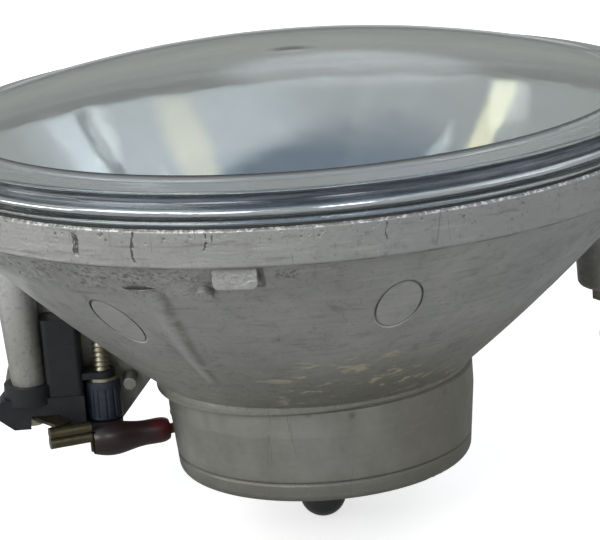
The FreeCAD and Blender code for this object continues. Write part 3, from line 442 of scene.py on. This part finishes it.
def crust_above_neck(s, angle, height):
    """Pale flaky crust low on the bowl, in front and to the right."""
    zone = s.times(s.window(angle, -104, -28, 12), s.window(height, -55 * MM, -36 * MM, 6 * MM))
    flakes = s.noise(4.2 * MM, 5, 0.68, source=s.round_the_axis(3.2))
    return s.times(zone, s.step(flakes, 0.55, 0.61), s.step(s.noise(11 * MM, 2), 0.40, 0.52))


def relief(s, layers):
    """Bumps laid over softened edges; a layer is (height, depth in mm)."""
    normal = s.rounded(0.5 * MM)
    for height, depth in layers:
        normal = s.bump(height, depth * MM, normal)
    return normal


def cast_alloy():
    """Old die casting: grey skin, drag lines, corroded arc, painted shade in corners, painted glints along
    the top edge, crust above the neck.
    """
    material, s = new_material("cast_alloy")
    height, angle = s.axis("Z"), s.angle()
    mottle = s.noise(5 * MM, 6, 0.68, distort=0.5)
    fine = s.noise(1.1 * MM, 4, 0.7)
    drag = s.noise(1.3 * MM, 3, 0.6, source=s.round_the_axis(9))
    grain = s.noise(0.5 * MM, 3, 0.6)
    corner_shade = s.crevice(5 * MM)
    below_bowl = s.step(height, NECK_HIGH + 0.5 * MM, NECK_HIGH - 0.8 * MM)
    neck = s.times(below_bowl, s.step(s.radius(), NECK_FACE_R + 1 * MM, NECK_FACE_R - 1 * MM))
    skin = s.calc("SUBTRACT", 1.0, s.times(neck, 0.75))
    base = worn_skin(s, skin_and_painted_light(s, angle, height, neck), skin, mottle, drag, fine)

    zone, scale = corrosion(s, angle, height)
    eaten = s.times(s.step(scale, 0.50, 0.60), zone)
    seam_strip = s.window(height, -3 * MM, -0.4 * MM, 0.8 * MM)
    seam_patches = s.step(s.noise(9 * MM, 3), 0.44, 0.58)
    seam_pits = s.times(s.step(s.cells(1.5 * MM), 0.34, 0.12), seam_strip, seam_patches)
    base = s.mix(s.times(s.step(scale, 0.48, 0.38), zone, 0.6), base, (0.66, 0.66, 0.65))
    base = s.mix(s.times(eaten, 0.75), base, (0.055, 0.054, 0.05))
    base = s.mix(s.times(seam_pits, 0.7), base, (0.05, 0.048, 0.043))
    base = feature_marks(s, base, angle, height)

    nicks = s.times(band_nicks(s), s.step(height, BAND_LOW - 0.3 * MM, BAND_LOW + 0.3 * MM))
    scratches = long_scratches(s)
    darkening = edge_shade_and_specks(s, angle, height)
    crust = crust_above_neck(s, angle, height)
    base = s.mix(s.times(nicks, 0.8), base, (0.05, 0.048, 0.042))
    base = s.mix(s.times(scratches, 0.3), base, (0.08, 0.076, 0.07))
    # painted shade under the band, painted shadow beside and under the pad, and dark specks in the scuffed
    # patch
    base = s.mix(s.times(darkening, 0.7), base, (0.07, 0.066, 0.055))
    # painted shade: ambient occlusion darkens every corner of the casting towards brown-black
    base = s.mix(s.times(corner_shade, 0.8), base, (0.05, 0.046, 0.038))
    base = s.mix(s.times(crust, 0.85), base, (0.42, 0.37, 0.26))
    # painted glints: near-white specks along the top edge of the casting
    edge_glint = s.times(s.window(height, -0.55 * MM, 0.1 * MM, 0.12 * MM), s.step(fine, 0.50, 0.44))
    base = s.mix(s.times(edge_glint, 0.9), base, (0.92, 0.92, 0.91))

    dull = s.most(crust, s.times(seam_pits, 0.8), eaten, corner_shade, darkening)
    rough = s.calc("ADD", s.ramp(mottle, [(0.3, 0.34), (0.75, 0.54)]), s.times(dull, 0.3), clamp=True)
    shine = s.calc("SUBTRACT", 0.68, s.times(dull, 0.68), clamp=True)
    normal = relief(s, [
        (grain, 0.03),
        (s.times(fine, skin), 0.05),
        (s.times(mottle, skin), 0.13),
        (s.times(drag, skin), 0.05),
        (s.times(scale, zone), 0.45),
        (seam_pits, -0.15),
        (nicks, -0.35),
        (scratches, -0.05),
        (crust, 0.15),
    ])
    s.output(s.principled(Base_Color=base, Metallic=shine, Roughness=rough, Normal=normal))
    return material


def lens_coats(s, surface, streaks, normal):
    """What lies on the lens: fine dust, painted shade on the wall between the rim beads, worn flange and
    silvery bead.
    """
    dust = s.principled(Base_Color=(0.50, 0.52, 0.53), Roughness=0.8)
    surface = s.blend(s.ramp(s.noise(30 * MM, 6, 0.7), [(0.3, 0.005), (0.75, 0.03)]), surface, dust)

    # painted shade on the wall between the rim beads: dark blue-black with lighter streaks, heavier towards
    # the right
    wall_shade_colour = s.ramp(streaks, [(0.35, (0.03, 0.038, 0.052)), (0.7, (0.16, 0.18, 0.21))])
    shaded_wall = s.principled(Base_Color=wall_shade_colour, Roughness=0.16, Metallic=0.4, Normal=normal)
    wall = s.times(s.window(s.axis("Z"), *WALL_Z, 0.25 * MM),
                   s.step(s.radius(), WALL_R - 0.15 * MM, WALL_R + 0.15 * MM))
    depth = s.ramp(s.step(s.angle(), -118, -92), [(0.0, 0.5), (1.0, 0.9)])
    surface = s.blend(s.times(wall, depth), surface, shaded_wall)

    frosted = s.principled(Base_Color=(0.46, 0.475, 0.465), Roughness=0.22, Normal=normal)
    flange = s.times(s.window(s.radius(), DOME_FOOT_R, FLANGE_R, 0.4 * MM),
                     s.step(s.axis("Z"), FLANGE_Z - 0.2 * MM, FLANGE_Z + 0.2 * MM))
    surface = s.blend(s.times(flange, 0.5), surface, frosted)

    silvered = s.principled(Base_Color=(0.78, 0.81, 0.83), Roughness=0.13, Metallic=1.0, Normal=normal)
    bead = s.times(s.window(s.axis("Z"), *BEAD_Z, 0.1 * MM),
                   s.step(s.radius(), BEAD_R - 0.15 * MM, BEAD_R + 0.15 * MM))
    return s.blend(s.times(bead, 0.5), surface, silvered)


def clear_glass(name, tint=(0.93, 0.96, 0.95), roughness=0.0, smear=0.02, lens=False):
    """Glass with wiped smears that lets the studio lights through; the lens has its own coats as well."""
    material, s = new_material(name)
    wipe = s.noise(9 * MM, 4, 0.6, source=s.stretched((0.35, 1, 1), turn=(0, 0, 0.4)))
    rough = s.calc("ADD", s.calc("MULTIPLY", s.step(wipe, 0.45, 0.8), smear), roughness)
    normal = s.bump(s.noise(16 * MM, 2), 0.02 * MM)
    streaks = s.noise(1.2 * MM, 3, 0.6, source=s.round_the_axis(14))
    if lens:
        rim = s.step(s.radius(), 78.5 * MM, 79.5 * MM)
        normal = s.bump(s.times(streaks, rim), 0.06 * MM, normal)
    surface = s.principled(
        Base_Color=tint, Roughness=rough, IOR=1.5, Transmission_Weight=1.0, Normal=normal)
    if lens:
        surface = lens_coats(s, surface, streaks, normal)
    clear = s.add("ShaderNodeBsdfTransparent")
    s.plug(clear.inputs["Color"], (0.85, 0.87, 0.87))
    shadow_ray = s.add("ShaderNodeLightPath").outputs["Is Shadow Ray"]
    s.output(s.blend(shadow_ray, surface, clear.outputs[0]))
    return material


def mirror_coat():
    """Vacuum-coated mirror with a little haze and a few dull specks."""
    material, s = new_material("mirror_coat")
    haze = s.noise(14 * MM, 4, 0.6)
    base = s.ramp(haze, [(0.3, (0.76, 0.78, 0.78)), (0.7, (0.86, 0.87, 0.87))])
    specks = s.step(s.cells(2.4 * MM), 0.09, 0.03)
    base = s.mix(s.calc("MULTIPLY", specks, 0.4), base, (0.35, 0.33, 0.28))
    rough = s.ramp(haze, [(0.3, 0.025), (0.75, 0.05)])
    normal = s.bump(s.noise(18 * MM, 2), 0.03 * MM)
    s.output(s.principled(Base_Color=base, Metallic=1.0, Roughness=rough, Normal=normal))
    return material


def metal(name, colour, dark, roughness, spot=3 * MM):
    """Bare metal, tarnished in blotches of size spot, with fine drawn marks."""
    material, s = new_material(name)
    stain = s.noise(spot, 5, 0.65)
    base = s.mix(s.step(stain, 0.45, 0.75), colour, dark)
    rough = s.ramp(stain, [(0.3, roughness), (0.8, min(1.0, roughness + 0.25))])
    normal = s.bump(s.noise(0.5 * MM, 3), 0.02 * MM)
    normal = s.bump(s.noise(2.5 * MM, 2, source=s.stretched((1, 1, 0.2))), 0.02 * MM, normal)
    s.output(s.principled(Base_Color=base, Metallic=1.0, Roughness=rough, Normal=normal))
    return material


def plastic(name, colour, worn, roughness, coat=0.0, gloss=0.5):
    """Plastic or rubber with dusty patches, a fine grain and a few scuffs."""
    material, s = new_material(name)
    dust = s.noise(4 * MM, 5, 0.65)
    base = s.mix(s.calc("MULTIPLY", s.step(dust, 0.48, 0.8), 0.6), colour, worn)
    rough = s.ramp(dust, [(0.3, roughness), (0.8, min(1.0, roughness + 0.2))])
    normal = s.bump(s.noise(0.35 * MM, 2), 0.02 * MM)
    scuff = s.noise(1.5 * MM, 2, 0.4, source=s.stretched((0.08, 1, 1), turn=(0.2, 0.5, 0.9)))
    normal = s.bump(s.step(scuff, 0.66, 0.7), -0.02 * MM, normal)
    s.output(s.principled(Base_Color=base, Roughness=rough, Normal=normal, Specular_IOR_Level=gloss,
                          Coat_Weight=coat, Coat_Roughness=0.08))
    return material


def aged_sleeve():
    """Dark red soft PVC, blackened by grime except towards its wire end."""
    material, s = new_material("sleeve_red")
    darkening = s.noise(3.5 * MM, 5, 0.65)
    clean = s.most(s.step(s.axis("X"), -43 * MM, -37 * MM), 0.12)
    red = s.ramp(darkening, [(0.35, (0.11, 0.006, 0.009)), (0.75, (0.045, 0.007, 0.009))])
    base = s.mix(s.times(clean, s.step(darkening, 0.68, 0.42)), (0.014, 0.010, 0.011), red)
    normal = s.bump(s.noise(0.8 * MM, 3), 0.03 * MM)
    normal = s.bump(s.noise(6 * MM, 2), 0.10 * MM, normal)
    rough = s.ramp(darkening, [(0.3, 0.28), (0.8, 0.5)])
    s.output(s.principled(
        Base_Color=base, Roughness=rough, Normal=normal, Coat_Weight=0.2, Coat_Roughness=0.2))
    return material


def make_materials():
    """One material for each material slot of the CAD record."""
    return {
        "cast_alloy": cast_alloy(),
        "lens_glass": clear_glass("lens_glass", roughness=0.03, smear=0.03, lens=True),
        "seal": plastic("seal", (0.03, 0.03, 0.028), (0.09, 0.08, 0.065), 0.6),
        "mirror_coat": mirror_coat(),
        "zinc_steel": metal("zinc_steel", (0.50, 0.48, 0.38), (0.24, 0.21, 0.14), 0.34),
        "bulb_metal": metal("bulb_metal", (0.66, 0.63, 0.58), (0.36, 0.31, 0.24), 0.28),
        "bulb_glass": clear_glass("bulb_glass", (0.98, 0.98, 0.98), 0.0, 0.0),
        "tungsten": metal("tungsten", (0.30, 0.29, 0.28), (0.15, 0.14, 0.14), 0.4),
        "ceramic": plastic("ceramic", (0.72, 0.69, 0.62), (0.45, 0.40, 0.32), 0.7),
        "spring_steel": metal("spring_steel", (0.50, 0.49, 0.47), (0.22, 0.19, 0.15), 0.3),
        "plug_black": plastic("plug_black", (0.012, 0.014, 0.020), (0.04, 0.045, 0.055), 0.10,
                              coat=1.0, gloss=1.0),
        "brass": metal("brass", (0.13, 0.118, 0.075), (0.035, 0.035, 0.026), 0.26, spot=5 * MM),
        "rubber_black": plastic("rubber_black", (0.02, 0.02, 0.02), (0.07, 0.065, 0.06), 0.65),
        "lead_black": plastic("lead_black", (0.018, 0.018, 0.02), (0.07, 0.065, 0.06), 0.42),
        "lead_brown": plastic("lead_brown", (0.12, 0.05, 0.02), (0.10, 0.07, 0.05), 0.42),
        "sleeve_red": aged_sleeve(),
        "adjuster_black": plastic("adjuster_black", (0.007, 0.008, 0.012), (0.022, 0.021, 0.023), 0.42),
        "knob_blue_black": plastic("knob_blue_black", (0.020, 0.025, 0.042), (0.06, 0.065, 0.08), 0.34),
    }


def dress_cad_nodes(materials):
    """Give each CAD piece the material that its slot names."""
    slots = {row["node"]: row["material_slot"] for row in frame["record"]["subparts"]}
    for name, node in frame["nodes"].items():
        node.data.materials.clear()
        node.data.materials.append(materials[slots[name]])


# ---- own pieces -------------------------------------------------------------------------------------
STEPS_PER_SPAN = 10
TUBE_SIDES = 14
LEAD_R = 1.25
GROMMET_ANGLE = 120.0
GROMMET_Z = -68.0
WIRE_ASIDE = 1.6                # each lead passes this far beside the grommet's middle


def smooth_path(points):
    """Catmull-Rom curve through the points."""
    ends = [2 * points[0] - points[1]] + points + [2 * points[-1] - points[-2]]
    path = []
    for a, b, c, d in zip(ends, ends[1:], ends[2:], ends[3:]):
        for i in range(STEPS_PER_SPAN):
            t = i / STEPS_PER_SPAN
            path.append(0.5 * (2 * b + (c - a) * t + (2 * a - 5 * b + 4 * c - d) * t * t
                               + (3 * b - a - 3 * c + d) * t ** 3))
    return path + [points[-1]]


def tube(name, path, radius):
    """Closed tube along a path, its section carried along without twist; radius is a function of 0 to 1."""
    turns = [2 * math.pi * k / TUBE_SIDES for k in range(TUBE_SIDES)]
    bm = bmesh.new()
    side = (path[1] - path[0]).orthogonal().normalized()
    rings = []
    for i, point in enumerate(path):
        ahead = (path[min(i + 1, len(path) - 1)] - path[max(i - 1, 0)]).normalized()
        side = (side - ahead * side.dot(ahead)).normalized()
        across = ahead.cross(side)
        reach = radius(i / (len(path) - 1))
        spokes = [side * math.cos(turn) + across * math.sin(turn) for turn in turns]
        rings.append([bm.verts.new(point + spoke * reach) for spoke in spokes])
    for low, high in zip(rings, rings[1:]):
        for k in range(TUBE_SIDES):
            after = (k + 1) % TUBE_SIDES
            bm.faces.new((low[k], low[after], high[after], high[k]))
    bm.faces.new(list(reversed(rings[0])))
    bm.faces.new(rings[-1])
    return finished(name, bm)


def finished(name, bm):
    """Smooth-shaded object made from a closed mesh."""
    bmesh.ops.recalc_face_normals(bm, faces=bm.faces)
    mesh = bpy.data.meshes.new(name)
    bm.to_mesh(mesh)
    bm.free()
    for face in mesh.polygons:
        face.use_smooth = True
    piece = bpy.data.objects.new(name, mesh)
    bpy.context.scene.collection.objects.link(piece)
    return piece


def polar(radius, degrees, height):
    """Point given in mm and degrees round the optical axis."""
    angle = math.radians(degrees)
    return Vector((radius * math.cos(angle), radius * math.sin(angle), height)) * MM


def in_mm(x, y, z):
    return Vector((x, y, z)) * MM


def grommet_point(radius, side):
    """Point on a lead's way through the grommet in the neck's wall; side is -1 or 1."""
    middle = polar(radius, GROMMET_ANGLE, GROMMET_Z) + in_mm(NECK_OFFSET, 0, 0)
    return middle + polar(WIRE_ASIDE * side, GROMMET_ANGLE + 90, 0)


def lead_radius(t):
    """Insulation that is very slightly uneven along its length."""
    return (LEAD_R + 0.03 * math.sin(23 * t) + 0.02 * math.sin(61 * t + 1.0)) * MM


def make_supply_lead(material):
    """Lead from the plug's spout through the grommet to its sleeve."""
    sleeve_start, sleeve_end = in_mm(33.4, 27.7, -71), in_mm(19.5, 41.0, -71)
    inward = (sleeve_start - sleeve_end).normalized() * MM
    route = [
        in_mm(0, 3.0, -84),
        in_mm(0, 9.0, -84),
        in_mm(-0.6, 15.5, -83.4),
        in_mm(-3.6, 21.5, -78.5),
        in_mm(-8.2, 24.6, -72.5),
        grommet_point(29.5, -1),
        grommet_point(36.0, -1),
        grommet_point(42.0, -1),
        polar(46.0, 108, -70.0),
        polar(46.5, 92, -70.8),
        polar(47.0, 76, -71.0),
        sleeve_end - inward * 2.0,
        sleeve_end + inward * 3.5,
    ]
    lead = tube("supply_lead_bent", smooth_path(route), lead_radius)
    lead.data.materials.append(material)
    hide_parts("supply_lead")
    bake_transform(lead)


def make_earth_lead(material):
    """Lead from the bulb seat's tag through the grommet, round the neck and into the red sleeve."""
    sleeve_start, sleeve_end = in_mm(-54.9, 9.0, -75), in_mm(-36.6, 15.0, -75)
    inward = (sleeve_start - sleeve_end).normalized() * MM
    route = [
        polar(19.9, 150, -63.9),
        polar(20.6, 149, -66.4),
        polar(22.6, 138, -68.2),
        grommet_point(28.5, 1),
        grommet_point(36.0, 1),
        grommet_point(41.0, 1),
        polar(43.6, 132, -70.2),
        polar(43.4, 144, -73.4),
        sleeve_end - inward * 4.5 + in_mm(-1.0, 2.6, 0.3),
        sleeve_end - inward * 1.6,
        sleeve_end + inward * 3.5,
    ]
    lead = tube("earth_lead_bent", smooth_path(route), lead_radius)
    lead.data.materials.append(material)
    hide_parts("earth_lead")
    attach(lead, "lamp_body")


# ---- stage -------------------------------------------------------------------------------------------
def make_camera():
    """Camera at the photograph's angle, aimed close to the origin of the shared frame."""
    ahead = Vector((0, math.cos(ELEVATION), -math.sin(ELEVATION)))
    level_up = Vector((0, math.sin(ELEVATION), math.cos(ELEVATION)))
    level_right = Vector((1, 0, 0))
    right = level_right * math.cos(ROLL) - level_up * math.sin(ROLL)
    up = level_right * math.sin(ROLL) + level_up * math.cos(ROLL)
    data = bpy.data.cameras.new("camera")
    data.lens = FOCAL_MM
    data.sensor_width = 36.0
    data.clip_start = 0.01
    camera = bpy.data.objects.new("camera", data)
    bpy.context.scene.collection.objects.link(camera)
    place = -(right * AIM_RIGHT + up * AIM_UP + ahead * DISTANCE)
    turn = Matrix((right, up, -ahead)).transposed().to_4x4()
    camera.matrix_world = Matrix.Translation(place) @ turn
    bpy.context.scene.camera = camera


def make_floor():
    """Plain pale floor: white to the camera, grey to everything it lights."""
    bm = bmesh.new()
    bmesh.ops.create_circle(bm, cap_ends=True, radius=12.0, segments=96)
    mesh = bpy.data.meshes.new("floor")
    bm.to_mesh(mesh)
    bm.free()
    floor = bpy.data.objects.new("floor", mesh)
    floor.location.z = CAD_BOX[0][2] - 0.3 * MM
    bpy.context.scene.collection.objects.link(floor)
    material, s = new_material("floor_paper")
    shade = s.ramp(s.noise(0.4, 3), [(0.3, 0.86), (0.7, 0.90)])
    seen = s.principled(
        Base_Color=shade, Roughness=0.9, Emission_Color=(1, 1, 1), Emission_Strength=0.62)
    unseen = s.principled(Base_Color=(0.52, 0.52, 0.50), Roughness=0.95)
    s.output(s.blend(s.add("ShaderNodeLightPath").outputs["Is Camera Ray"], unseen, seen))
    mesh.materials.append(material)


# what the mirror and the glass see round the lamp: direction, reach, softness of the edge, radiance
STUDIO_PATCHES = (
    ((0.60, -0.20, 0.78), 0.70, 0.20, (0.68, 0.72, 0.78)),      # broad light card, left
    ((-0.066, 0.20, 0.977), 0.65, 0.03, (0.19, 0.23, 0.29)),    # dark slate overhead
    ((0.48, -0.26, 0.84), 0.10, 0.05, (1.02, 0.99, 0.88)),      # cream card
    ((0.77, 0.18, 0.61), 0.13, 0.05, (1.00, 1.08, 1.20)),       # blue-white card, far left
    ((0.715, 0.10, 0.69), 0.05, 0.02, (0.24, 0.28, 0.31)),      # dark gap
    ((-0.715, 0.115, 0.69), 0.075, 0.03, (1.25, 1.17, 0.85)),   # warm card, right
    ((0.05, 0.94, 0.34), 0.10, 0.03, (0.75, 0.78, 0.80)),       # soft light behind
)


def studio_world():
    """Soft grey room: lighter overhead, olive grey near the horizon, with a few soft cards and dark gaps."""
    world = bpy.data.worlds.new("studio")
    bpy.context.scene.world = world
    s = Shader(world)
    toward = s.add("ShaderNodeTexCoord").outputs["Generated"]
    parts = s.add("ShaderNodeSeparateXYZ")
    s.plug(parts.inputs[0], toward)
    sky = s.ramp(parts.outputs["Z"], [(0.0, (0.31, 0.325, 0.305)), (0.30, (0.40, 0.415, 0.40)),
                                      (0.75, (0.42, 0.435, 0.45)), (1.0, (0.50, 0.52, 0.55))])
    for centre, reach, soft, colour in STUDIO_PATCHES:
        gap = s.add("ShaderNodeVectorMath", operation="DISTANCE")
        s.plug(gap.inputs[0], toward)
        gap.inputs[1].default_value = Vector(centre).normalized()
        sky = s.mix(s.step(gap.outputs["Value"], reach + soft, reach - soft), sky, colour)
    camera_ray = s.add("ShaderNodeLightPath").outputs["Is Camera Ray"]
    background = s.add("ShaderNodeBackground")
    s.plug(background.inputs["Color"], s.mix(camera_ray, sky, (1.0, 1.0, 1.0)))
    s.output(background.outputs[0], "ShaderNodeOutputWorld")


def area_light(name, place, size, power, colour=(1, 1, 1)):
    """Rectangular light that faces the middle of the bowl."""
    data = bpy.data.lights.new(name, "AREA")
    data.shape = "RECTANGLE"
    data.size, data.size_y = size
    data.energy = power
    data.color = colour
    light = bpy.data.objects.new(name, data)
    light.location = place
    aim = Vector((0, 0, -30 * MM)) - Vector(place)
    light.rotation_euler = aim.to_track_quat("-Z", "Y").to_euler()
    bpy.context.scene.collection.objects.link(light)
    return light


def make_lights():
    """Soft light from the left and above, weaker from the right, two cards for the glints on the rim."""
    key = area_light("key", (-1.15, -0.75, 0.85), (0.8, 0.8), 7.0, (1.0, 0.99, 0.97))
    left = area_light("left", (-1.45, -0.20, 0.05), (0.7, 0.5), 4.5)
    right = area_light("right", (1.2, -0.5, 0.40), (0.7, 0.6), 0.8, (0.96, 0.98, 1.0))
    area_light("card_left", (-0.62, -1.25, 0.50), (0.55, 0.50), 4.5)
    area_light("card_right", (0.30, -1.35, 0.55), (0.33, 0.38), 2.2)
    behind = area_light("behind", (0.3, 1.5, 0.7), (1.2, 0.5), 7.0)
    behind.visible_glossy = False
    for light in (key, left, right, behind):
        light.visible_transmission = False
    studio_world()


bpy.context.scene.view_settings.view_transform = "Standard"
materials = make_materials()
dress_cad_nodes(materials)
make_supply_lead(materials["lead_black"])
make_earth_lead(materials["lead_brown"])
make_floor()
make_lights()
make_camera()
